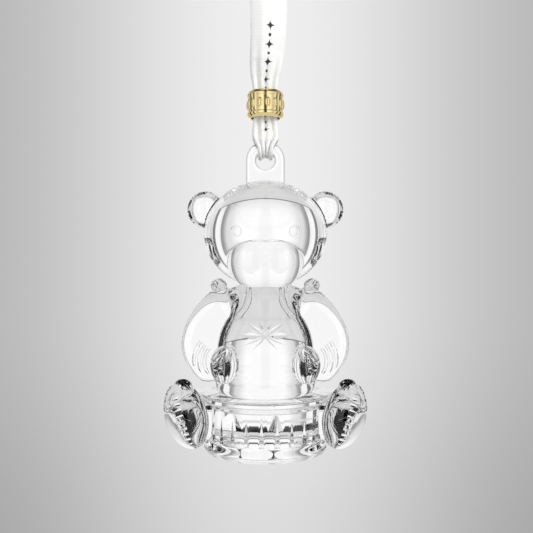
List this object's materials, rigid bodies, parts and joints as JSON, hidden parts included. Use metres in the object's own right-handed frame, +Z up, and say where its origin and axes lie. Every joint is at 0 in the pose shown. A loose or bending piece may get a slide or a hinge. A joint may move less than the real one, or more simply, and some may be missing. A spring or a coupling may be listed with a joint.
{
  "type": "hanging crystal figurine",
  "caption": "Clear pressed and cut crystal sitting bear on a drum, hung by a white satin ribbon that loops through the eye on its head and is gathered by a gold bead.",
  "frame": {"origin": "inside top of the ribbon loop, where the hook bears", "axes": "+Z up, against gravity; -Y is the bear's front; +X is the bear's own left"},
  "size_m": [0.053, 0.0345, 0.1284],
  "materials": {
    "crystal": "polished crystal with fine matt cuts",
    "ribbon": "satin weave with woven edges and a row of small black printed motifs",
    "bead": "polished gold plate with raised marks"
  },
  "bodies": {
    "ribbon": {"ribbon_loop": "ribbon", "ribbon_seam": "ribbon"},
    "tail": {"ribbon_tail": "ribbon"},
    "bead": {"bead": "bead"},
    "bear": {"hanging_eye": "crystal", "head": "crystal", "muzzle": "crystal", "ear_left": "crystal", "ear_right": "crystal", "torso": "crystal", "arm_left": "crystal", "arm_right": "crystal", "paw_left": "crystal", "paw_right": "crystal", "leg_left": "crystal", "leg_right": "crystal", "foot_left": "crystal", "foot_right": "crystal", "drum_rim": "crystal", "drum_wall": "crystal", "drum_flange": "crystal"}
  },
  "joints": [
    {"name": "bead_slide", "type": "slide", "parent": "ribbon", "child": "bead", "axis": [0, 0, 1], "range_m": [-0.003, 0.003]},
    {"name": "ribbon_twist", "type": "hinge", "parent": "ribbon", "child": "tail", "pos_m": [0, 0, -0.0353], "axis": [0, 0, 1], "range_deg": [-90, 90]},
    {"name": "bear_swing", "type": "hinge", "parent": "tail", "child": "bear", "pos_m": [0, 0, -0.04645], "axis": [1, 0, 0], "range_deg": [-25, 25]}
  ]
}
